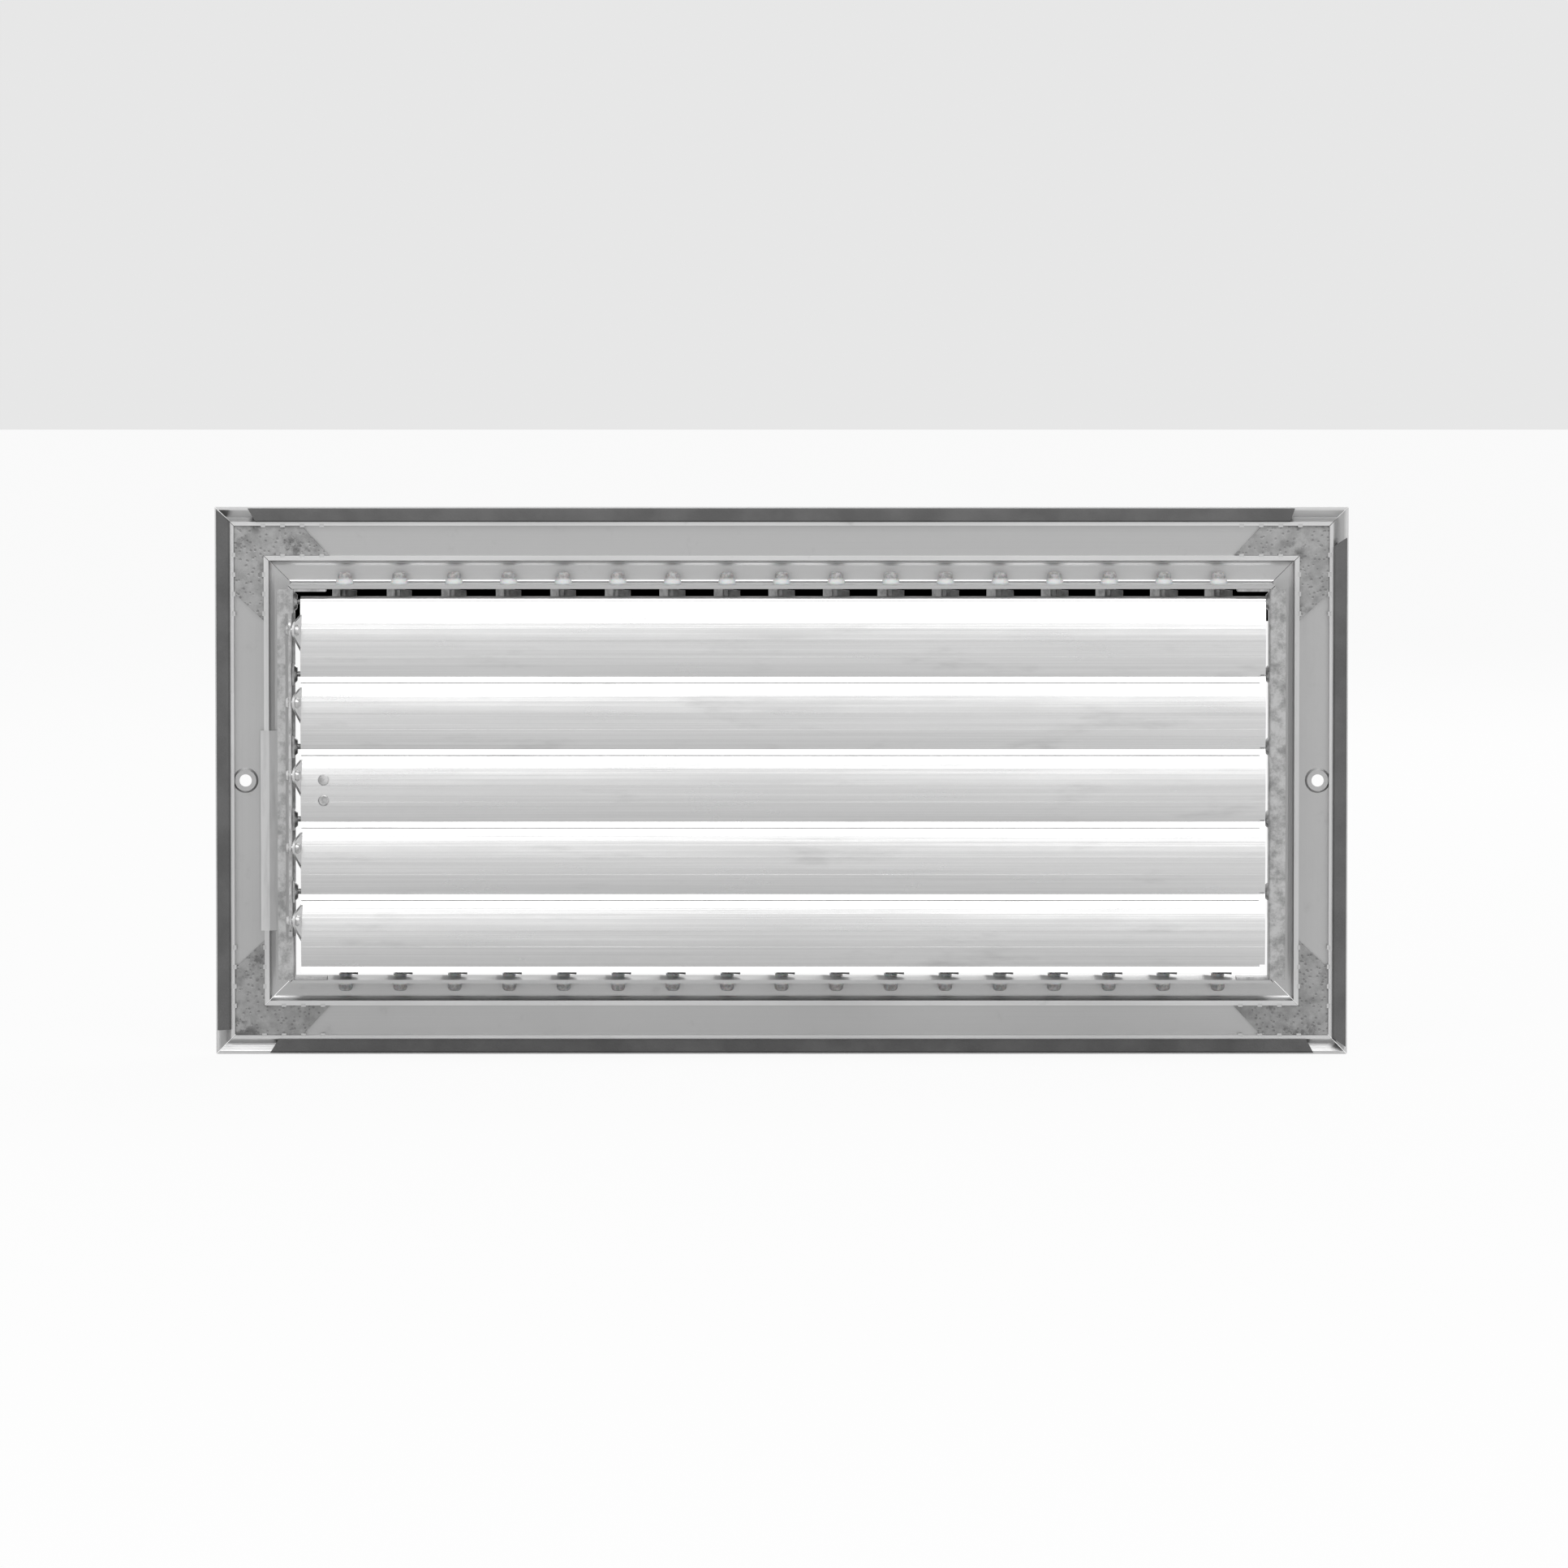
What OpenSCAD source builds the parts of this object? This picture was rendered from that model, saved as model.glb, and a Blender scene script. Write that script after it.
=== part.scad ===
// Sidewall supply register for a 14 x 6 in wall opening, modelled in millimetres.
// +X runs to the right as the register is seen from the duct, +Z is up, and +Y faces the room.
// The origin is midway between the two wall screws, on the plane of the wall.
// A depth d is measured from the wall plane towards the duct, so y = -d.

/* [Face and neck] */
// Nominal width of the wall opening
nominal_w = 355.6; // [250:0.1:600]
// Nominal height of the wall opening
nominal_h = 152.4; // [130:0.1:300]
// How far the face overlaps the wall opening on each side
face_overlap = 19.05; // [17:0.05:30]
// Depth of the face in front of the wall plane
face_depth = 5; // [4.4:0.1:10]
// Thickness of the face web
web_t = 1.4; // [1:0.1:2]
// Thickness of the neck wall
neck_t = 1.2; // [0.8:0.1:2]
// Distance from the face's outer edge in to the neck's outer surface
neck_inset = 26.4; // [24:0.1:34]
// How far the neck reaches behind the wall plane
neck_depth = 22; // [20:0.5:40]
// Radius of the rounded front edge where the face turns into the neck
nose_r = 3.6; // [1:0.1:4]
// Gap left at each mitre between two frame lengths
mitre_gap = 0.15; // [0.05:0.01:0.4]

/* [Rim, ribs and gasket] */
// Width of the outer lip that meets the wall
lip_w = 1; // [0.6:0.1:1.6]
// Depth of the gasket groove at its outer end
groove_depth = 0.9; // [0.5:0.1:1.4]
// Distance from the outer edge in to the outer rib
rib_out = 5.2; // [5:0.1:7]
// Width of the outer rib
rib_out_w = 1.3; // [0.8:0.1:1.8]
// Clear width of the key channel between the two ribs
channel_w = 10.4; // [9.8:0.1:12]
// Width of the inner rib
rib_in_w = 1.7; // [1:0.1:2.2]
// How far the ribs stop short of the wall plane
rib_drop = 0.6; // [0.2:0.1:1]
// How far the foam gasket stands behind the wall plane
gasket_proud = 1.2; // [0.6:0.1:3]

/* [Corner keys] */
// Thickness of the steel corner keys
key_t = 1.8; // [1.2:0.1:1.9]
// Length of a key's leg along the outer rib
key_leg = 23.4; // [20:0.1:40]
// How much longer the leg is along the inner rib
key_skew = 9.7; // [4:0.1:12]
// Clearance between a key and the ribs
key_gap = 0.1; // [0.05:0.05:0.3]
// Distance from the face's corner to the first stake
stake_first = 16.7; // [12:0.1:18]
// Spacing of the stakes along a rib
stake_pitch = 6.8; // [5:0.1:7]

/* [Wall screws] */
// Distance from the face's outer edge in to a wall screw hole's centre
screw_inset = 10.35; // [9.6:0.05:12]
// Radius of a wall screw hole
screw_r = 2.15; // [1.8:0.05:2.6]
// Radius of the countersink at the face
sink_r = 4.2; // [3.4:0.1:4.6]
// Height of the raised rim round a hole on the back of the web
sink_rise = 1.2; // [0.6:0.1:1.6]

/* [Front vanes] */
// Depth of the vane axes behind the wall plane
vane_d = 3.5; // [3:0.1:6]
// Chord of a vane from edge to edge
vane_chord = 16; // [10:0.5:17]
// Thickness of a vane beside its core
vane_t = 1.7; // [1.2:0.1:3]
// Outer radius of a vane's tubular core
vane_core_r = 1.9; // [1.6:0.1:2.6]
// Clear distance from the neck's side wall to the first vane axis
vane_end_gap = 17.65; // [16:0.05:30]
// Angle that the vanes are set at, from straight ahead
vane_set = 35; // [-45:1:45]
// Gap between a vane's end and its bushing
vane_play = 0.15; // [0.05:0.05:0.5]

/* [Vane bushings] */
// Radius of a bushing's shank in the neck wall
bush_r = 2.45; // [2.2:0.05:3]
// Radius of a bushing's flange outside the neck
bush_flange_r = 3; // [2.8:0.1:3.6]
// How far a bushing stands out of the neck
bush_proud = 4.05; // [3:0.05:5]
// Radius of the stub that carries the vane
bush_pin_r = 1.2; // [0.9:0.05:1.3]
// Length of that stub inside the vane
bush_pin_len = 4.2; // [3:0.1:8]
// Thickness of the bushing's collar inside the neck
bush_collar = 0.8; // [0.4:0.1:1.2]
// Running clearance of the vane on the stub
bush_fit = 0.06; // [0.03:0.01:0.1]

/* [Damper shutters] */
// How far the shutter axes sit in from the neck's duct end
shutter_inset = 4; // [3.6:0.1:6]
// Gap between the shutters and the neck at the top and the bottom
shutter_gap = 2.65; // [1.5:0.05:6]
// How far each shutter overlaps the next
shutter_overlap = 4.5; // [3:0.1:6]
// Thickness of a shutter blade
shutter_t = 0.7; // [0.5:0.05:1]
// Outer radius of the tubular hem
hem_r = 1.8; // [1.6:0.1:2.2]
// Radius of the bore through the hem
hem_bore_r = 0.95; // [0.7:0.05:1]
// How far the blade arches towards the duct
shutter_arch = 2.3; // [1:0.1:4]
// How far the lower lip flares towards the duct
lip_flare = 0.8; // [0.3:0.1:1.4]
// Gap between the left end of a shutter and the left rail
shutter_left_gap = 2.15; // [1.4:0.05:3]
// Gap between the right end of a shutter and the right rail
shutter_right_gap = 1.15; // [1.05:0.05:3]
// Size of the fine ridges along a blade
ridge = 0.3; // [0.2:0.05:0.5]
// Width of the corner cut from the lip beside the next pivot
relief_w = 1.9; // [1:0.1:3]
// Height of that corner cut
relief_h = 2.6; // [1.8:0.1:4]

/* [Damper rails] */
// Thickness of the rail sheet
rail_t = 0.8; // [0.6:0.1:1.2]
// Clearance between a rail and the neck
rail_gap = 0.1; // [0.05:0.05:0.4]
// Width of the flange outside the rail's web
rail_flange = 4.95; // [4:0.05:8]
// How far a rail's web reaches in front of the shutter axes
rail_lead = 5.5; // [4.8:0.1:6]
// Inner radius of the bend between a rail's web and its flange
rail_bend_r = 0.3; // [0.1:0.05:0.3]
// Length of the tabs along the top and bottom of the neck
rail_tab = 11; // [6:0.5:14]
// Height of a pivot dimple
dimple_h = 1; // [0.6:0.05:1.05]
// Outer radius of a pivot dimple
dimple_r = 3.4; // [2.8:0.1:4.5]
// Running clearance of a pivot pin in the rail
pivot_fit = 0.07; // [0.03:0.01:0.1]
// Width of the flange that is left beside the linkage
notch_flange = 2.8; // [2:0.1:4]

/* [Linkage] */
// Height of a link rivet below its shutter's axis
rivet_drop = 9.6; // [8:0.1:12]
// Distance of a link rivet behind its shutter's axis
rivet_out = 8; // [7.6:0.1:12]
// Radius of a link rivet's shank
rivet_r = 1.1; // [0.8:0.05:1.4]
// Radius of a link rivet's heads
rivet_head_r = 2; // [1.6:0.1:2.4]
// Running clearance of a link rivet in the link bar
link_fit = 0.08; // [0.03:0.01:0.1]
// Radius of the rounded tip of an ear
ear_r = 3.2; // [2.8:0.1:4]
// Angle at which an ear leans outwards
ear_lean = 18; // [10:1:22]
// Thickness of the link bar
link_t = 0.8; // [0.6:0.1:1.2]
// Width of the link bar
link_w = 5; // [4:0.1:6]

/* [Lever] */
// Distance of the lever's arm from the left rail
lever_inset = 6.1; // [5.6:0.1:7]
// Thickness of the lever strip
lever_t = 1.2; // [0.8:0.1:1.6]
// Width of the lever's arm
lever_w = 8; // [6:0.5:10]
// Reach of the lever in front of the shutter axis
lever_reach = 40; // [34:1:60]
// Rise of the lever's tip above the shutter axis
lever_rise = 28; // [10:1:40]
// Length of the finger tab at the tip
lever_tab = 10; // [6:0.5:16]

/* [Hidden] */
$fn = 48;
vane_count = 17;
shutter_count = 5;
// How far a cut runs past its solid, and how far joined solids run into each other
cut = 0.5;
bite = 0.1;

face_w = nominal_w + 2 * face_overlap;
face_h = nominal_h + 2 * face_overlap;
web_d = -face_depth + web_t;
rib_d = -rib_drop;
channel_in = rib_out + rib_out_w;
channel_end = channel_in + channel_w;
rib_end = channel_end + rib_in_w;
neck_in = neck_inset + neck_t;
neck_w = face_w - 2 * neck_in;
neck_h = face_h - 2 * neck_in;

// Upright part of the face's outer edge, and the bevel beside it
edge_h = 1.2;
bevel_w = 4.2;
// Slanted side of the gasket groove
groove_foot = rib_out - 1.6;
groove_floor = -groove_depth - 1.7;
// Fillets beside the inner rib and where the web turns into the neck
rib_fillet_r = min(2, rib_d - web_d - 0.2);
neck_fillet_r = 1.2;
// Depth of a screw hole's countersink
sink_depth = 1.6;
// Distance between the wall screws
screw_spacing = face_w - 2 * screw_inset;
// Width, height and bite of a stake, its gap over the key, and the notch it leaves in the rib
stake = [1.6, 0.7, 0.55];
stake_gap = 0.05;
stake_notch = [1.6, 0.5, 0.6];
// Bare lengths at the ends of each gasket strip, along its outer and its inner edge
gasket_top_ends = [[18.5, 20.5], [11.2, 14.6]];
gasket_bottom_ends = [[18.5, 22], [11.5, 14.5]];
gasket_left_ends = [[0.3, 6], [8.3, 8.6]];
gasket_right_ends = [[2.2, 6.2], [10.3, 14.3]];
// Rounding of the gasket's free edges
gasket_round = 0.6;
// Sticker: its length, its centre along the rib, its lap over the rib, its foot and its thickness
label_len = 69.7;
label_z = 17.35;
label_lap = 1.2;
label_foot = 3.3;
label_t = 0.25;

vane_pitch = (neck_w - 2 * vane_end_gap) / (vane_count - 1);
vane_len = neck_h - 2 * (bush_collar + vane_play);
vane_arc_r = (vane_chord * vane_chord + vane_t * vane_t) / (4 * vane_t);
// Bushing: play of its shank in the neck, flange, dome and the step down to its collar
bush_play = 0.05;
bush_flange_t = 1.1;
bush_dome_r = 1.5;
bush_step = 0.15;

shutter_d = neck_depth - shutter_inset;
rail_start = shutter_d - rail_lead;
rail_in = neck_w / 2 - rail_gap - rail_t;
rail_out = rail_in + rail_t;
flange_d = neck_depth + rail_gap;
rail_top = neck_h / 2 - rail_gap;
// How far a rail's end tabs start behind its web's edge
tab_back = 1.5;
// Slope of a dimple's side, and the sheet left round the dimple beside a window
dimple_slope = 1;
lug_rim = 0.4;
// Left rail's windows: first and last edge from the nearest axis or rivet, and edge from the web's
window_top = 4;
window_bottom = 6;
window_back = 2;

shutter_span = neck_h - 2 * shutter_gap;
shutter_pitch = (shutter_span - shutter_overlap) / shutter_count;
shutter_drop = shutter_pitch + shutter_overlap - hem_r;
shutter_left = -rail_in + shutter_left_gap;
shutter_right = rail_in - shutter_right_gap;
// Lip: its height, and its step over the next shutter's hem
lip_h = 1.8;
lip_step = 0.4;
lip_w_in = hem_r + shutter_t + lip_step;
// Where the fine ridges run, as shares of the blade's height
ridge_at = [0.52, 0.74];
// Pivot pins: radius, length held in the hem, and set-back from the rail's outer face
pin_r = hem_bore_r - 0.02;
pin_hold = 8;
pin_back = 0.05;

// Ear: its root's depth, where its upper and lower edges leave the blade, and its bite into it
ear_root = lip_w_in;
ear_top = 4;
ear_foot = 8.2;
ear_bite = 0.6;
rivet_h = (rivet_out - ear_root) / cos(ear_lean);
rivet_x = shutter_left - (rivet_out - ear_root) * tan(ear_lean);
ear_t = shutter_t + 0.1;
// Rivets: height of a head, its taper, and the play beside the link bar
rivet_head_h = 0.9;
rivet_taper = 0.5;
rivet_play = 0.15;
// The link bar clears the ears, and runs past the first and the last rivet
link_x = rivet_x - (ear_r + 0.2) * sin(ear_lean) - 0.25;
link_end = ear_r + 0.6;

lever_x = -rail_in + lever_inset;
// Lever's foot: its width and height, its top against the link rivet, and its rivets
foot_w = 9.2;
foot_h = 12.6;
foot_top = -rivet_drop + 1.2;
foot_bottom = foot_top - foot_h;
foot_out = blade_out(foot_bottom) - shutter_t - 0.02;
foot_rivet_x = lever_x + 4;
foot_rivet_z = [foot_top - 3, foot_top - 10];
// Where the arm leaves the foot, and its knee, as (towards the duct, up) about the shutter's axis
lever_root = -2.6;
lever_knee = [-8, -8];

// X of a vane's axis, counted from the left
function vane_x(i) = (i - (vane_count + 1) / 2) * vane_pitch;

// Z of a shutter's axis, counted from the top
function shutter_z(k) = shutter_span / 2 - hem_r - (k - 1) * shutter_pitch;

// Depth of the blade's duct face, as an arch from the hem (t = 0) to the lip (t = 1)
function blade_w(t) = hem_r + (lip_w_in - hem_r) * t + shutter_arch * 4 * t * (1 - t);

// Height of the blade's duct face below the axis at the same t
function blade_v(t) = -t * (shutter_drop - lip_h);

// Depth of that face at a height v against the axis
function blade_out(v) = blade_w(-v / (shutter_drop - lip_h));

// Points of an arc with centre c and radius r, from angle a to angle b
function arc(c, r, a, b, n = 6) =
    [for (i = [0:n]) c + r * [cos(a + (b - a) * i / n), sin(a + (b - a) * i / n)]];

// The frame's section: x runs inwards from the outer edge, y is the depth
module frame_section() {
    polygon(concat(
        [[0, 0], [0, -edge_h], [bevel_w, -face_depth]],
        arc([neck_in - nose_r, nose_r - face_depth], nose_r, -90, 0),
        [[neck_in, neck_depth], [neck_inset, neck_depth]],
        arc([neck_inset - neck_fillet_r, web_d + neck_fillet_r], neck_fillet_r, 0, -90),
        arc([rib_end + rib_fillet_r, web_d + rib_fillet_r], rib_fillet_r, -90, -180),
        [[rib_end, rib_d], [channel_end, rib_d], [channel_end, web_d],
         [channel_in, web_d], [channel_in, rib_d], [rib_out, rib_d],
         [groove_foot, groove_floor], [lip_w, -groove_depth], [lip_w, 0]]
    ));
}

// Turns a section drawn as (inwards, depth) and extruded upwards into a bottom rail along X
module lay_section(half) {
    translate([0, 0, -half]) rotate([180, -90, 0]) children();
}

// A slab in the XZ plane that trims a bottom rail, from side a to side b with slanted ends
module trim(a0, a1, b0, b1, reach, half) {
    translate([0, neck_depth, -half]) rotate([90, 0, 0])
        linear_extrude(height = 3 * neck_depth)
            polygon([[a0, 0], [b0, 0], [b1, reach], [a1, reach]]);
}

// One mitred frame length lying along X at the bottom
module frame_length(length, half) {
    reach = neck_in + 2;
    end = length / 2 - mitre_gap;
    intersection() {
        lay_section(half) linear_extrude(height = length, center = true) frame_section();
        trim(-end, reach - end, end, end - reach, reach, half);
    }
}

// Middles of the stakes along a length, from the one numbered first
function stake_x(length, first) =
    [for (side = [-1, 1], k = [first:3]) side * (length / 2 - stake_first - k * stake_pitch)];

// Small teeth pressed out of both ribs over the corner keys at the two ends of a length
module stakes(length, half) {
    y = -(web_d + key_t) - stake_gap - stake[1];
    size = [stake[0], stake[1], stake[2] + bite];
    for (x = stake_x(length, 0))
        translate([x - stake[0] / 2, y, -half + channel_in - bite]) cube(size);
    for (x = stake_x(length, 1))
        translate([x - stake[0] / 2, y, -half + channel_end - stake[2]]) cube(size);
}

// The notches that the staking tool leaves in the ribs' tops beside the teeth
module stake_notches(length, half) {
    size = [stake_notch[0], stake_notch[1] + cut, stake_notch[2] + cut];
    for (x = stake_x(length, 0))
        translate([x - stake_notch[0] / 2, -rib_d - cut, -half + channel_in - stake_notch[2]])
            cube(size);
    for (x = stake_x(length, 1))
        translate([x - stake_notch[0] / 2, -rib_d - cut, -half + channel_end - cut])
            cube(size);
}

// A horizontal frame length with its stakes and a row of bushing holes
module vane_length() {
    difference() {
        union() {
            frame_length(face_w, face_h / 2);
            stakes(face_w, face_h / 2);
        }
        stake_notches(face_w, face_h / 2);
        for (i = [1:vane_count])
            translate([vane_x(i), -vane_d, -neck_h / 2 - neck_t - cut])
                cylinder(r = bush_r + bush_play, h = neck_t + 2 * cut);
    }
}

// A vertical frame length, drawn as a bottom one, with its screw hole
module screw_length() {
    hole_z = -screw_spacing / 2;
    difference() {
        union() {
            frame_length(face_h, face_w / 2);
            stakes(face_h, face_w / 2);
            translate([0, -web_d, hole_z]) rotate([90, 0, 0])
                cylinder(r1 = sink_r + 0.2, r2 = sink_r - 0.5, h = sink_rise);
        }
        stake_notches(face_h, face_w / 2);
        translate([0, face_depth + cut, hole_z]) rotate([90, 0, 0])
            cylinder(r = screw_r, h = face_depth + 2 * cut);
        translate([0, face_depth, hole_z]) rotate([90, 0, 0])
            cylinder(r1 = sink_r, r2 = screw_r, h = sink_depth);
    }
}

module frame_bottom() {
    color("gainsboro") vane_length();
}

module frame_top() {
    color("gainsboro") rotate([0, 180, 0]) vane_length();
}

module frame_left() {
    color("gainsboro") rotate([0, 90, 0]) screw_length();
}

module frame_right() {
    color("gainsboro") rotate([0, -90, 0]) screw_length();
}

// The L-shaped key of the top left corner, mirrored into the others
module corner_key(sx, sz) {
    a = key_gap;
    b = channel_w - key_gap;
    color("darkgray")
        translate([sx * (face_w / 2 - channel_in), -web_d, sz * (face_h / 2 - channel_in)])
            rotate([90, 0, 0]) linear_extrude(height = key_t)
                polygon([for (p = [[a, a], [key_leg, a], [key_leg + key_skew, b], [b, b],
                                   [b, key_leg + key_skew], [a, key_leg]])
                         [-sx * p[0], -sz * p[1]]]);
}

module corner_key_top_left() {
    corner_key(-1, 1);
}

module corner_key_top_right() {
    corner_key(1, 1);
}

module corner_key_bottom_left() {
    corner_key(-1, -1);
}

module corner_key_bottom_right() {
    corner_key(1, -1);
}

// The foam strip's section, seated in the groove
module gasket_section() {
    polygon([
        [lip_w / 2, 0], [lip_w, 0], [lip_w, -groove_depth], [groove_foot, groove_floor],
        [rib_out, rib_d], [rib_out, gasket_proud - gasket_round],
        [rib_out - gasket_round, gasket_proud], [lip_w / 2 + gasket_round, gasket_proud],
        [lip_w / 2, gasket_proud - gasket_round]
    ]);
}

// A bottom strip, with the bare lengths at its left and its right end
module gasket(length, half, ends) {
    edge = length / 2;
    start = ends[0];
    end = ends[1];
    color("dimgray") intersection() {
        lay_section(half) linear_extrude(height = length, center = true) gasket_section();
        trim(start[0] - edge, start[1] - edge, edge - end[0], edge - end[1], rib_out + cut, half);
    }
}

module gasket_bottom() {
    gasket(face_w, face_h / 2, gasket_bottom_ends);
}

module gasket_top() {
    rotate([0, 180, 0]) gasket(face_w, face_h / 2, gasket_top_ends);
}

module gasket_left() {
    rotate([0, 90, 0]) gasket(face_h, face_w / 2, gasket_left_ends);
}

module gasket_right() {
    rotate([0, -90, 0]) gasket(face_h, face_w / 2, gasket_right_ends);
}

// A nylon bushing on the Z axis: z = 0 is the neck's inner face and the head points up
module bushing() {
    head = neck_t + bush_proud;
    collar_r = bush_r - bush_step;
    stub_end = -bush_collar - bush_pin_len;
    rotate_extrude() polygon(concat(
        [[0, stub_end], [bush_pin_r, stub_end], [bush_pin_r, -bush_collar],
         [collar_r, -bush_collar], [collar_r, 0], [bush_r, 0], [bush_r, neck_t],
         [bush_flange_r, neck_t], [bush_flange_r, neck_t + bush_flange_t],
         [bush_r, neck_t + bush_flange_t]],
        arc([bush_r - bush_dome_r, head - bush_dome_r], bush_dome_r, 0, 90),
        [[0, head]]
    ));
}

module bushings_top() {
    color("ghostwhite") for (i = [1:vane_count])
        translate([vane_x(i), -vane_d, neck_h / 2]) bushing();
}

module bushings_bottom() {
    color("ghostwhite") for (i = [1:vane_count])
        translate([vane_x(i), -vane_d, -neck_h / 2]) mirror([0, 0, 1]) bushing();
}

// A vane: a lens-shaped blade with a tubular core, turned on its axis
module vane(i) {
    offset_x = vane_arc_r - vane_t / 2;
    color("silver") translate([vane_x(i), -vane_d, 0]) rotate([0, 0, vane_set])
        linear_extrude(height = vane_len, center = true) difference() {
            union() {
                intersection() {
                    translate([offset_x, 0]) circle(r = vane_arc_r, $fn = 360);
                    translate([-offset_x, 0]) circle(r = vane_arc_r, $fn = 360);
                }
                circle(r = vane_core_r);
            }
            circle(r = bush_pin_r + bush_fit);
        }
}

// Turns an outline drawn as (towards the duct, up) into a plate that is thick towards -X
module side_plate(t) {
    rotate([90, 0, -90]) linear_extrude(height = t) children();
}

// A cone with its base on x = 0 that points along +X
module x_cone(r1, r2, h) {
    rotate([0, 90, 0]) cylinder(r1 = r1, r2 = r2, h = h);
}

// The bent section of a right-hand rail's web and flange, drawn as (x, depth)
module rail_section() {
    bend = [rail_out + rail_bend_r, flange_d - rail_bend_r];
    polygon(concat(
        [[rail_in, rail_start]],
        arc(bend, rail_t + rail_bend_r, 180, 90),
        [[rail_out + rail_flange, flange_d + rail_t], [rail_out + rail_flange, flange_d]],
        arc(bend, rail_bend_r, 90, 180),
        [[rail_out, rail_start]]
    ));
}

// The sheet of a right-hand rail: web, flange and end tabs
module rail_sheet() {
    mirror([0, 1, 0]) linear_extrude(height = 2 * rail_top, center = true) rail_section();
    for (side = [-1, 1])
        translate([rail_in - rail_tab, -neck_depth, side > 0 ? rail_top - rail_t : -rail_top])
            cube([rail_tab + cut, neck_depth - rail_start - tab_back, rail_t]);
}

// A right-hand rail with a hollow dimple and a hole at each shutter axis
module rail_blank() {
    difference() {
        union() {
            rail_sheet();
            for (k = [1:shutter_count])
                translate([rail_in + bite, -shutter_d, shutter_z(k)]) mirror([1, 0, 0])
                    x_cone(dimple_r, dimple_r - dimple_slope, dimple_h + bite);
        }
        for (k = [1:shutter_count])
            translate([rail_out, -shutter_d, shutter_z(k)]) mirror([1, 0, 0]) {
                x_cone(dimple_r - rail_t, dimple_r - dimple_slope - rail_t, dimple_h);
                x_cone(hem_bore_r + pivot_fit, hem_bore_r + pivot_fit, 3 * rail_t + dimple_h);
            }
    }
}

module damper_rail_right() {
    color("lightgray") rail_blank();
}

// The left rail is cut away beside the linkage, apart from a lug at each axis
module damper_rail_left() {
    top = shutter_z(1) - window_top;
    bottom = shutter_z(shutter_count) - rivet_drop - window_bottom;
    lug = dimple_r + lug_rim;
    edges = concat([top], [for (k = [2:shutter_count]) shutter_z(k) - lug]);
    ends = concat([for (k = [2:shutter_count]) shutter_z(k) + lug], [bottom]);
    color("lightgray") difference() {
        mirror([1, 0, 0]) rail_blank();
        translate([-rail_out - rail_flange + notch_flange, -flange_d - rail_t - cut, bottom])
            cube([rail_flange - notch_flange + rail_t + cut,
                  rail_t + cut + rail_bend_r + bite, top - bottom]);
        for (i = [0:shutter_count - 1])
            translate([-rail_out - cut, -flange_d - cut, ends[i]])
                cube([rail_t + 2 * cut, flange_d - rail_start - window_back + cut, edges[i] - ends[i]]);
    }
}

// A blank paper sticker that bridges from the left inner rib down to the web
module blank_label() {
    lap = channel_end - label_lap;
    foot = rib_end + label_foot;
    color("white") rotate([0, 90, 0]) lay_section(face_w / 2)
        translate([0, 0, label_z]) linear_extrude(height = label_len, center = true) polygon([
            [lap, rib_d], [rib_end, rib_d], [foot, web_d], [foot + label_t, web_d],
            [rib_end + label_t / 2, rib_d + label_t], [lap, rib_d + label_t]
        ]);
}

// The arched blade with its lip and ridges, drawn as (towards the duct, up) about its axis
module blade_outline() {
    steps = 14;
    face = [for (i = [0:steps]) [blade_w(i / steps), blade_v(i / steps)]];
    back = [for (i = [steps:-1:0]) [blade_w(i / steps) - shutter_t, blade_v(i / steps)]];
    lip = [[lip_w_in + lip_flare, -shutter_drop],
           [lip_w_in + lip_flare - shutter_t, -shutter_drop]];
    polygon(concat(face, lip, back));
    for (t = ridge_at)
        translate([blade_w(t) - ridge / 2, blade_v(t)]) square(ridge);
}

// A shutter's section: the blade and its tubular hem
module shutter_section() {
    difference() {
        union() {
            circle(r = hem_r);
            blade_outline();
        }
        circle(r = hem_bore_r);
    }
}

// The ear's outline, drawn as (out from the blade, up) about the shutter's axis
module ear_outline() {
    polygon(concat(
        [[-ear_bite, -ear_top]],
        arc([rivet_h, -rivet_drop], ear_r, 79, -53, 16),
        [[-ear_bite, -rivet_drop - ear_foot]]
    ));
}

// The ear leans outwards from the left end of the blade and is drilled along X
module ear() {
    difference() {
        translate([shutter_left + ear_t, -ear_root, 0]) rotate([0, 0, -ear_lean])
            side_plate(ear_t) ear_outline();
        translate([rivet_x - ear_r, -rivet_out, -rivet_drop])
            x_cone(rivet_r, rivet_r, 2 * ear_r);
    }
}

module shutter_at(k) {
    translate([0, -shutter_d, shutter_z(k)]) children();
}

// Holes for the lever's two rivets, through its foot and the middle shutter
module lever_holes() {
    for (z = foot_rivet_z)
        translate([foot_rivet_x, cut, z]) rotate([90, 0, 0])
            cylinder(r = rivet_r, h = lip_w_in + shutter_arch + 2 * cut);
}

module shutter(k) {
    color("whitesmoke") shutter_at(k) difference() {
        union() {
            translate([shutter_right, 0, 0]) side_plate(shutter_right - shutter_left)
                shutter_section();
            ear();
        }
        translate([shutter_right - relief_w, -lip_w_in - lip_flare - cut, -shutter_drop - cut])
            cube([relief_w + cut, lip_w_in + lip_flare + cut, relief_h + cut]);
        if (k == 3) lever_holes();
    }
}

// Two stub pins pressed into the hem's ends
module pivot_pins(k) {
    left = rail_out - pin_back + shutter_left;
    right = rail_out - pin_back - shutter_right;
    color("dimgray") shutter_at(k) {
        translate([pin_back - rail_out, 0, 0]) x_cone(pin_r, pin_r, left + pin_hold);
        translate([shutter_right - pin_hold, 0, 0]) x_cone(pin_r, pin_r, right + pin_hold);
    }
}

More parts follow.
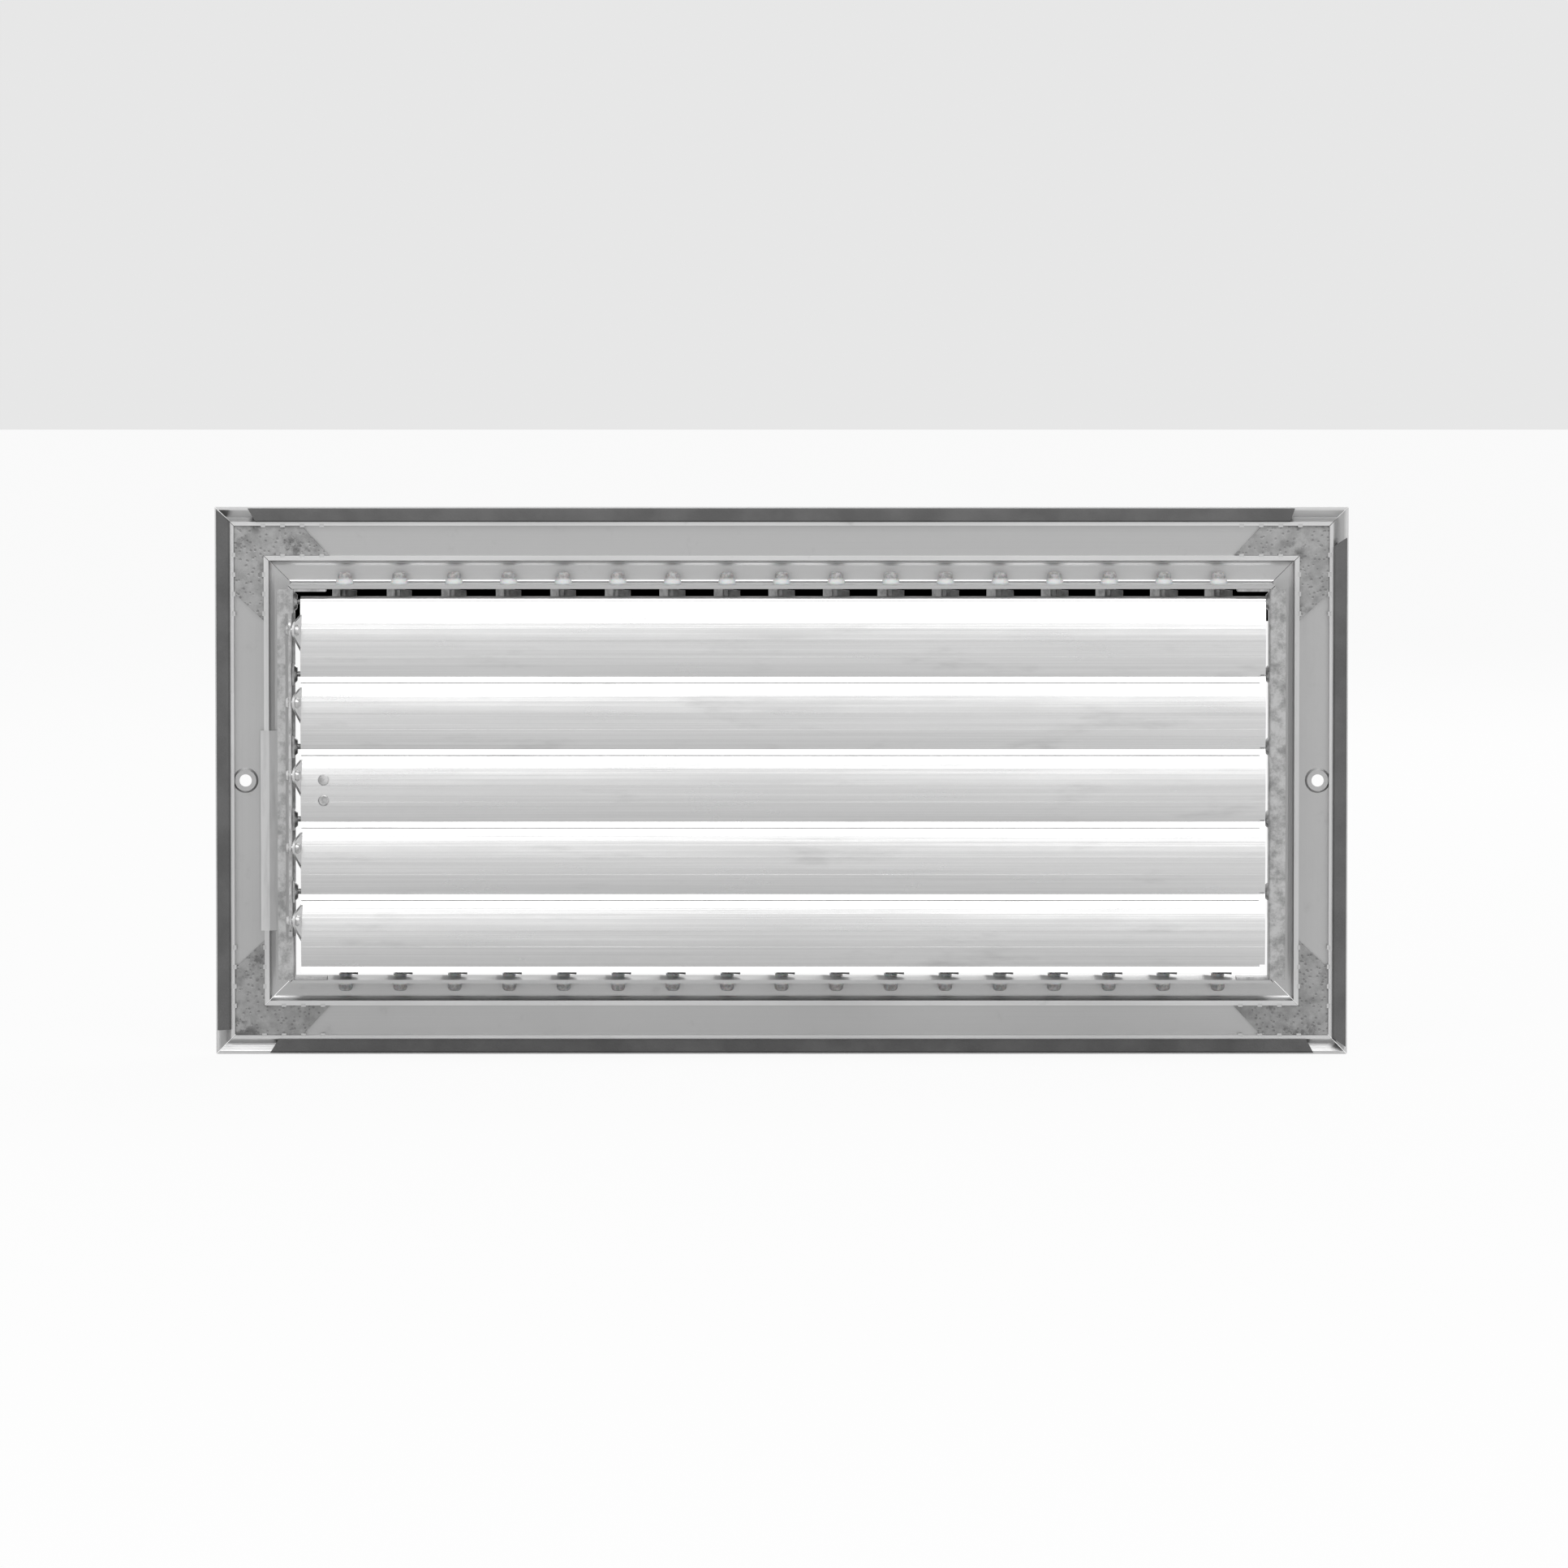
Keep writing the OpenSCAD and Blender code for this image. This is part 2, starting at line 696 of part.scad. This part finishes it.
// A rivet that is fixed in an ear, with the link bar turning on its shank
module link_rivet(k) {
    tail_x = link_x - link_t - rivet_play;
    shank_end = rivet_x + ear_t / cos(ear_lean) + rivet_r * tan(ear_lean);
    color("silver") shutter_at(k) translate([0, -rivet_out, -rivet_drop]) {
        translate([tail_x - rivet_head_h, 0, 0])
            x_cone(rivet_head_r - rivet_taper, rivet_head_r, rivet_head_h);
        translate([tail_x - bite, 0, 0]) x_cone(rivet_r, rivet_r, shank_end - tail_x + bite);
        translate([rivet_x, 0, 0]) rotate([0, 0, -ear_lean]) translate([ear_t, 0, 0])
            x_cone(rivet_head_r, rivet_head_r - rivet_taper, rivet_head_h);
    }
}

// The flat bar behind the ears
module link_bar() {
    top = shutter_z(1) - rivet_drop;
    bottom = shutter_z(shutter_count) - rivet_drop;
    color("silver") difference() {
        translate([link_x, -shutter_d - rivet_out, 0]) side_plate(link_t) {
            translate([-link_w / 2, bottom - link_end + link_w / 2])
                square([link_w, top - bottom + 2 * link_end - link_w]);
            for (z = [bottom - link_end + link_w / 2, top + link_end - link_w / 2])
                translate([0, z]) circle(r = link_w / 2);
        }
        for (k = [1:shutter_count])
            translate([link_x - link_t - cut, -shutter_d - rivet_out, shutter_z(k) - rivet_drop])
                x_cone(rivet_r + link_fit, rivet_r + link_fit, link_t + 2 * cut);
    }
}

// The operating lever: a foot behind the middle shutter, an arm and a finger tab
module damper_lever() {
    tip = [-lever_reach, lever_rise];
    along = (tip - lever_knee) / norm(tip - lever_knee);
    across = [-along[1], along[0]] * lever_w / 2;
    tab = along * lever_t;
    color("silver") shutter_at(3) {
        difference() {
            translate([lever_x, -foot_out, foot_bottom]) cube([foot_w, lever_t, foot_h]);
            lever_holes();
        }
        translate([lever_x, 0, 0]) side_plate(lever_t) polygon([
            [foot_out, foot_top], [foot_out, foot_bottom], [lever_root, foot_bottom + 2],
            lever_knee + across, tip + across, tip - across, lever_knee - across,
            [lever_root, foot_top]
        ]);
        translate([lever_x + lever_tab, 0, 0]) side_plate(lever_tab + lever_t)
            polygon([tip + across, tip - across, tip - across - tab, tip + across - tab]);
    }
}

// Two rivets, with heads that are formed onto the arched duct face of the middle shutter
module lever_rivets() {
    tail = foot_out - lever_t;
    color("silver") shutter_at(3) for (z = foot_rivet_z) {
        face = blade_out(z);
        translate([foot_rivet_x, -tail, z]) rotate([90, 0, 0]) {
            translate([0, 0, -rivet_head_h]) cylinder(r = rivet_head_r, h = rivet_head_h);
            translate([0, 0, -bite]) cylinder(r = rivet_r, h = face - tail + 2 * bite);
        }
        difference() {
            translate([foot_rivet_x, bite - face, z]) rotate([90, 0, 0])
                cylinder(r1 = rivet_head_r, r2 = rivet_head_r - rivet_taper, h = rivet_head_h + bite);
            translate([foot_rivet_x + foot_w, 0, 0]) side_plate(2 * foot_w) blade_outline();
        }
    }
}

frame_top();
frame_bottom();
frame_left();
frame_right();
corner_key_top_left();
corner_key_top_right();
corner_key_bottom_left();
corner_key_bottom_right();
gasket_top();
gasket_bottom();
gasket_left();
gasket_right();
bushings_top();
bushings_bottom();
damper_rail_left();
damper_rail_right();
blank_label();
vane(1);  // vane_01
vane(2);  // vane_02
vane(3);  // vane_03
vane(4);  // vane_04
vane(5);  // vane_05
vane(6);  // vane_06
vane(7);  // vane_07
vane(8);  // vane_08
vane(9);  // vane_09
vane(10);  // vane_10
vane(11);  // vane_11
vane(12);  // vane_12
vane(13);  // vane_13
vane(14);  // vane_14
vane(15);  // vane_15
vane(16);  // vane_16
vane(17);  // vane_17
shutter(1);  // shutter_1
shutter(2);  // shutter_2
shutter(3);  // shutter_3
shutter(4);  // shutter_4
shutter(5);  // shutter_5
pivot_pins(1);  // pivot_pins_1
pivot_pins(2);  // pivot_pins_2
pivot_pins(3);  // pivot_pins_3
pivot_pins(4);  // pivot_pins_4
pivot_pins(5);  // pivot_pins_5
link_rivet(1);  // link_rivet_1
link_rivet(2);  // link_rivet_2
link_rivet(3);  // link_rivet_3
link_rivet(4);  // link_rivet_4
link_rivet(5);  // link_rivet_5
link_bar();
damper_lever();
lever_rivets();
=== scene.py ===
"""The looks of a sidewall supply register, seen from its duct side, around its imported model.

Lengths in this script are millimetres until a mesh or a lamp is made. +X is the photograph's right,
+Z its top, and +Y goes into the room. A depth d is measured from the wall towards the duct: y = -d.
"""

import math

import bpy
import numpy as np
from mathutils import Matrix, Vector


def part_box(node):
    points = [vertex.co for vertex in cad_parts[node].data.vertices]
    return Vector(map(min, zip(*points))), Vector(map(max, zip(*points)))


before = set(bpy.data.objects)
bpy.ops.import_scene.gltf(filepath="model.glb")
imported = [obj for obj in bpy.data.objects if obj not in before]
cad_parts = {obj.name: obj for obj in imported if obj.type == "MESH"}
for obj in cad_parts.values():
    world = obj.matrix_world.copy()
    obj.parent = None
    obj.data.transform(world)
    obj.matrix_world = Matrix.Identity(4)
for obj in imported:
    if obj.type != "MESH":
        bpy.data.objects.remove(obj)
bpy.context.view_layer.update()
MM = 0.001


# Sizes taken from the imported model

def node_box(name):
    """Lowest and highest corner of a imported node, in millimetres."""
    low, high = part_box(name)
    return np.array(low) / MM, np.array(high) / MM


FRAME_LOW = node_box("frame_left")[0]
FRAME_HIGH = node_box("frame_right")[1]
FACE_W = FRAME_HIGH[0] - FRAME_LOW[0]
FACE_H = FRAME_HIGH[2] - FRAME_LOW[2]


# Materials

class Value:
    """One socket in a material's node tree. Arithmetic on it adds Math nodes."""

    def __init__(self, finish, socket):
        self.finish = finish
        self.socket = socket

    def math(self, operation, *operands):
        return self.finish.add("Math", {"operation": operation}, dict(enumerate(operands)))

    def __add__(self, other):
        return self.math("ADD", self, other)

    def __sub__(self, other):
        return self.math("SUBTRACT", self, other)

    def __mul__(self, other):
        return self.math("MULTIPLY", self, other)

    def __radd__(self, other):
        return self.math("ADD", other, self)

    def __rsub__(self, other):
        return self.math("SUBTRACT", other, self)

    def __rmul__(self, other):
        return self.math("MULTIPLY", other, self)

    def __abs__(self):
        return self.math("ABSOLUTE", self)

    def ramp(self, low, high, start=0.0, end=1.0):
        """Smooth step from start to end while the value goes from low to high."""
        limits = {"From Min": low, "From Max": high, "To Min": start, "To Max": end}
        return self.finish.add("MapRange", {"interpolation_type": "SMOOTHSTEP"}, {"Value": self, **limits})

    def near(self, centre, half, soft):
        """1 within half of centre, falling to 0 over soft."""
        return abs(self - centre).ramp(half, half + soft, 1.0, 0.0)


class Finish:
    """A material in the making: its node tree, and the one method that adds any node."""

    def __init__(self, name):
        self.material = bpy.data.materials.new(name)
        self.material.use_nodes = True
        self.tree = self.material.node_tree
        self.tree.nodes.clear()
        place = self.add("TexCoord", output="Object")
        self.point = self.add("VectorMath", {"operation": "SCALE"}, {0: place, "Scale": 1 / MM})
        self.y, self.z = (self.add("SeparateXYZ", {}, {0: self.point}, output=axis) for axis in "YZ")

    def add(self, kind, settings=None, inputs=None, output=0):
        """Adds a node: its type, its settings, then the values or links of its sockets."""
        made = self.tree.nodes.new("ShaderNode" + kind)
        for key, value in (settings or {}).items():
            setattr(made, key, value)
        for key, value in (inputs or {}).items():
            socket = made.inputs[key]
            if isinstance(value, Value):
                self.tree.links.new(value.socket, socket)
            else:
                socket.default_value = value
        return None if output is None else Value(self, made.outputs[output])

    def noise(self, period, detail=3.0, roughness=0.55, shift=(0, 0, 0)):
        """Noise from 0 to 1 whose features are about period = (x, y, z) millimetres long."""
        scale = tuple(1.0 / p for p in period)
        moved = self.add("Mapping", {}, {"Vector": self.point, "Scale": scale, "Location": shift})
        return self.add("TexNoise", {}, {"Vector": moved, "Scale": 1.0, "Detail": detail, "Roughness": roughness})

    def specks(self, period, size, shift=(0, 0, 0)):
        """Round specks on a jittered grid of the given period, each about size of it across."""
        moved = self.add("Mapping", {}, {"Vector": self.point, "Location": shift,
                                         "Scale": (1 / period, 1 / period, 1 / period)})
        cells = self.add("TexVoronoi", {}, {"Vector": moved, "Scale": 1.0}, output="Distance")
        return cells.ramp(size * 0.6, size, 1.0, 0.0)

    def tone(self, mask, clean, dirty):
        """A colour that goes from clean to dirty as the mask goes from 0 to 1."""
        return self.add("Mix", {"data_type": "RGBA", "clamp_factor": True},
                        {"Factor": mask, "A": clean, "B": dirty}, output="Result")

    def finish(self, colour, roughness, metallic, bump=None, depth=0.02, **constants):
        """Joins colour, roughness, metallic and a bump of the given depth in mm into one surface."""
        sockets = {"Base Color": colour, "Roughness": roughness, "Metallic": metallic}
        for name, value in constants.items():
            sockets[name.replace("_", " ")] = value
        if bump is not None:
            sockets["Normal"] = self.add("Bump", {}, {"Height": bump, "Distance": depth * MM})
        surface = self.add("BsdfPrincipled", {}, sockets)
        self.add("OutputMaterial", {}, {"Surface": surface}, output=None)
        return self.material


def grey(level):
    """A neutral colour of the given linear brightness."""
    return (level, level, level, 1.0)


def extruded_aluminium(name, along, web_shade=0.60, rib_highlight=0.88, dirt=0.42, rough=0.34):
    """Mill-finish extrusion: fine draw lines along one axis, rib tops painted lighter as a highlight and the
    recessed web painted darker as shade, faint stains.
    """
    f = Finish(name)
    long = {"x": (160.0, 0.5, 0.5), "z": (0.5, 0.5, 160.0)}[along]
    lines = f.noise(long, detail=4.0, roughness=0.7)
    broad = f.noise((46.0, 46.0, 46.0), detail=2.0, shift=(3.1, 1.7, 5.2))
    stain = f.noise((9.0, 5.0, 9.0), detail=5.0, roughness=0.65, shift=(8.0, 2.0, 1.0)).ramp(0.60, 0.78)
    # Painted light: faces near the wall plane (the rib tops) get a painted highlight, and the recessed web
    # between them is painted shade.
    highlight_mask = f.y.near(0.1, 0.75, 0.5)
    lit_and_shaded = f.tone(highlight_mask, grey(web_shade), grey(rib_highlight))
    lined = f.tone((lines - 0.5) * 0.5 + (broad - 0.5) * 0.6 + 0.25, lit_and_shaded, grey(dirt + 0.12))
    colour = f.tone(stain * 0.25, lined, grey(dirt))
    rough_value = (broad - 0.5) * 0.16 + stain * 0.12 + rough
    return f.finish(colour, rough_value, 1.0, bump=lines, depth=0.03, Anisotropic=0.35)


def galvanised_steel(name):
    """Zinc-coated key: cloudy grey patches, darker grime and small pits."""
    f = Finish(name)
    cloud = f.noise((5.0, 5.0, 5.0), detail=6.0, roughness=0.72)
    grime = f.noise((13.0, 6.0, 13.0), detail=4.0, roughness=0.6, shift=(4.0, 9.0, 2.0)).ramp(0.46, 0.66)
    pits = f.specks(1.6, 0.34, shift=(2.0, 1.0, 0.5))
    base = f.tone(cloud.ramp(0.32, 0.7), grey(0.46), grey(0.33))
    dirty = f.tone(grime * cloud.ramp(0.40, 0.60) * 0.8, base, grey(0.14))
    colour = f.tone(pits * 0.35, dirty, grey(0.09))
    return f.finish(colour, cloud * 0.2 + 0.42, 0.85, bump=cloud - pits, depth=0.06)


def foam_rubber(name):
    """Closed-cell foam tape: dark grey, faintly mottled, with a fine open-cell grain."""
    f = Finish(name)
    grain = f.noise((0.7, 0.7, 0.7), detail=2.0)
    broad = f.noise((18.0, 8.0, 18.0), detail=3.0, shift=(5.0, 5.0, 5.0))
    colour = f.tone(broad.ramp(0.3, 0.7), grey(0.125), grey(0.165))
    return f.finish(colour, 0.82, 0.0, bump=grain, depth=0.15, Specular_IOR_Level=0.3)


def natural_nylon(name):
    """Milky nylon bushing: white at its flange, greyer and mottled towards its tip."""
    f = Finish(name)
    tip = abs(f.z).ramp(69.9, 71.0)
    mottle = f.noise((1.3, 1.3, 1.3), detail=4.0, roughness=0.65)
    dark = f.tone(mottle.ramp(0.35, 0.65), grey(0.32), grey(0.55))
    colour = f.tone(tip, grey(0.93), dark)
    return f.finish(colour, 0.3, 0.0, bump=mottle, depth=0.12, Subsurface_Weight=0.25,
                    Subsurface_Scale=0.002)


def bright_aluminium(name, level=0.86, rough=0.3):
    """Bright mill-finish shutter: long draw lines, cloudy smudges and dark grime flecks."""
    f = Finish(name)
    fine = f.noise((220.0, 0.35, 0.35), detail=3.0, roughness=0.6)
    coarse = f.noise((150.0, 2.2, 2.2), detail=3.0, shift=(0.0, 4.0, 7.0))
    cloud = f.noise((42.0, 12.0, 9.0), detail=4.0, roughness=0.6, shift=(6.0, 1.0, 2.0))
    smudge = cloud.ramp(0.55, 0.80)
    line_mask = (fine - 0.5) * 0.6 + (coarse - 0.5) * 0.5 + 0.2
    colour = f.tone(line_mask, grey(level), grey(level * 0.62))
    colour = f.tone(smudge * 0.45, colour, grey(level * 0.55))
    return f.finish(colour, (cloud - 0.5) * 0.2 + rough, 1.0, bump=fine + coarse, depth=0.03,
                    Anisotropic=0.4)


def sheet_metal(name, level, rough=0.36):
    """Thin cut sheet or rivet: small clouds, scratches and grime."""
    f = Finish(name)
    cloud = f.noise((4.0, 4.0, 4.0), detail=5.0, roughness=0.7)
    scratch = f.noise((0.4, 0.4, 9.0), detail=3.0, shift=(1.0, 3.0, 2.0))
    colour = f.tone(cloud.ramp(0.35, 0.72), grey(level), grey(level * 0.5))
    return f.finish(colour, cloud * 0.2 + rough - 0.1, 1.0, bump=cloud + scratch, depth=0.04)


def sticker_paper(name):
    """Blank coated paper with faint creases, which are also painted greyer as shade."""
    f = Finish(name)
    crease_and_shade = f.noise((3.0, 3.0, 22.0), detail=3.0)
    colour = f.tone(crease_and_shade.ramp(0.4, 0.8), grey(0.86), grey(0.68))
    return f.finish(colour, 0.55, 0.0, bump=crease_and_shade, depth=0.1)


FINISHES = {
    "frame_h": extruded_aluminium("frame lengths, horizontal", "x"),
    "frame_v": extruded_aluminium("frame lengths, upright", "z"),
    "key": galvanised_steel("galvanised keys"),
    "foam": foam_rubber("foam gasket"),
    "nylon": natural_nylon("nylon bushings"),
    "shutter": bright_aluminium("damper shutters"),
    "vane": sheet_metal("front vanes", level=0.45),
    "rail": sheet_metal("damper rails", level=0.62),
    "link": sheet_metal("link bar", level=0.72),
    "pin": sheet_metal("pivot pins", level=0.3),
    "rivet": sheet_metal("rivets", level=0.8, rough=0.28),
    "lever": sheet_metal("lever strip", level=0.55),
    "paper": sticker_paper("blank sticker"),
}


def finish_of(node):
    """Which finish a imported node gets."""
    families = [("frame_top", "frame_h"), ("frame_bottom", "frame_h"), ("frame", "frame_v"),
                ("corner_key", "key"), ("gasket", "foam"), ("bushings", "nylon"), ("damper_rail", "rail"),
                ("blank_label", "paper"), ("vane", "vane"), ("shutter", "shutter"), ("pivot", "pin"),
                ("link_rivet", "rivet"), ("lever_rivets", "rivet"), ("link_bar", "link"),
                ("damper_lever", "lever")]
    return next(finish for start, finish in families if node.startswith(start))


for node_name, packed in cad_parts.items():
    packed.data.materials.clear()
    packed.data.materials.append(FINISHES[finish_of(node_name)])


# The photograph: its size in pixels, the object's middle in it, and how much one pixel spans
PHOTO_PX = 1932
MIDDLE_PX = (963.1, 962.2)
MM_PER_PX = 0.2822
CAMERA_DISTANCE = 3500.0
CAMERA_RISE = math.radians(3.4)
SENSOR = 36.0


# Stage: floor, painted shade card, lamps and camera

def stage_plane(name, corners, material):
    """A flat stage piece through the given corners, in millimetres."""
    mesh = bpy.data.meshes.new(name)
    mesh.from_pydata((np.array(corners) * MM).tolist(), [], [tuple(range(len(corners)))])
    piece = bpy.data.objects.new(name, mesh)
    bpy.context.collection.objects.link(piece)
    mesh.materials.append(material)
    return piece


def seen_white(name, albedo, share):
    """Pale matt stage paint: the camera sees its share as plain white, other rays see the matt paint."""
    f = Finish(name)
    matt = f.add("BsdfDiffuse", {}, {"Color": grey(albedo)})
    white = f.add("Emission", {}, {"Color": grey(1.0), "Strength": 1.0})
    camera_ray = f.add("LightPath", output="Is Camera Ray")
    mixed = f.add("MixShader", {}, {0: camera_ray * share, 1: matt, 2: white})
    f.add("OutputMaterial", {}, {"Surface": mixed}, output=None)
    return f.material


def painted_shade_card(name):
    """Unlit matt black: a card of painted shade."""
    f = Finish(name)
    dark = f.add("Emission", {}, {"Color": grey(0.0), "Strength": 1.0})
    f.add("OutputMaterial", {}, {"Surface": dark}, output=None)
    return f.material


FLOOR_HALF = 9000.0
FLOOR_GAP = 0.2
FLOOR_Z = FRAME_LOW[2] - FLOOR_GAP
stage_plane("floor", [(-FLOOR_HALF, -FLOOR_HALF, FLOOR_Z), (FLOOR_HALF, -FLOOR_HALF, FLOOR_Z),
                      (FLOOR_HALF, FLOOR_HALF, FLOOR_Z), (-FLOOR_HALF, FLOOR_HALF, FLOOR_Z)],
            seen_white("floor paint", albedo=0.82, share=0.92))


def softbox(name, place, width, height, power):
    """An area lamp of the given size in metres, at place and turned to the register."""
    lamp = bpy.data.lights.new(name, "AREA")
    lamp.shape = "RECTANGLE"
    lamp.size, lamp.size_y = width, height
    lamp.energy = power
    piece = bpy.data.objects.new(name, lamp)
    bpy.context.collection.objects.link(piece)
    turn_towards(piece, place, (0.0, 0.0, 0.0))


def turn_towards(piece, place, aim):
    """Puts a lamp or camera at place, looking at aim, both in metres."""
    piece.location = place
    direction = piece.location.copy()
    direction.x, direction.y, direction.z = (a - p for a, p in zip(aim, place))
    piece.rotation_euler = direction.to_track_quat("-Z", "Y").to_euler()


softbox("key_softbox", (0.0, -1.9, 1.7), width=2.4, height=1.3, power=26.0)
softbox("room_softbox", (0.9, 1.9, 1.4), width=1.6, height=1.6, power=18.0)

# The world is at full strength for camera, glossy and transmission rays, and dimmer for the others
AMBIENT = 0.62
world = bpy.data.worlds.new("studio")
bpy.context.scene.world = world
world.use_nodes = True
tree = world.node_tree
tree.nodes.clear()
paths = tree.nodes.new("ShaderNodeLightPath")
seen = tree.nodes.new("ShaderNodeMath")
seen.operation = "MAXIMUM"
tree.links.new(paths.outputs["Is Camera Ray"], seen.inputs[0])
tree.links.new(paths.outputs["Is Glossy Ray"], seen.inputs[1])
both = tree.nodes.new("ShaderNodeMath")
both.operation = "MAXIMUM"
tree.links.new(seen.outputs[0], both.inputs[0])
tree.links.new(paths.outputs["Is Transmission Ray"], both.inputs[1])
level = tree.nodes.new("ShaderNodeMapRange")
level.inputs["To Min"].default_value = AMBIENT
tree.links.new(both.outputs[0], level.inputs["Value"])
light = tree.nodes.new("ShaderNodeBackground")
tree.links.new(level.outputs[0], light.inputs["Strength"])
out = tree.nodes.new("ShaderNodeOutputWorld")
tree.links.new(light.outputs[0], out.inputs["Surface"])

camera_data = bpy.data.cameras.new("camera")
camera = bpy.data.objects.new("camera", camera_data)
bpy.context.collection.objects.link(camera)
camera_data.sensor_width = SENSOR
camera_data.lens = SENSOR * CAMERA_DISTANCE / (PHOTO_PX * MM_PER_PX)
camera_data.clip_end = 60.0
aim_x = (PHOTO_PX / 2 - MIDDLE_PX[0]) * MM_PER_PX * MM
aim_z = (MIDDLE_PX[1] - PHOTO_PX / 2) * MM_PER_PX * MM
turn_towards(camera, (aim_x, -CAMERA_DISTANCE * MM * math.cos(CAMERA_RISE),
                      aim_z + CAMERA_DISTANCE * MM * math.sin(CAMERA_RISE)), (aim_x, 0.0, aim_z))
bpy.context.scene.camera = camera

# A black card of painted shade, as far behind the register as the camera is in front. The frame hides its edges,
# and the gap above the damper reads dark in front of it, standing in for the shade inside the duct. Lower down
# the floor hides the card.
CARD_REACH = 2.0
CARD_EDGE = 0.96
card_half = (CARD_REACH * CARD_EDGE * FACE_W / 2, CARD_REACH * CARD_EDGE * FACE_H / 2)
card_y = CAMERA_DISTANCE * (CARD_REACH - 1) * math.cos(CAMERA_RISE)
card_z = -CAMERA_DISTANCE * (CARD_REACH - 1) * math.sin(CAMERA_RISE) + aim_z / MM
card = stage_plane("card", [(x * card_half[0], card_y, card_z + z * card_half[1])
                            for x, z in ((-1, -1), (1, -1), (1, 1), (-1, 1))], painted_shade_card("card"))
card.visible_diffuse = card.visible_glossy = card.visible_shadow = card.visible_transmission = False
bpy.context.scene.view_settings.view_transform = "Standard"
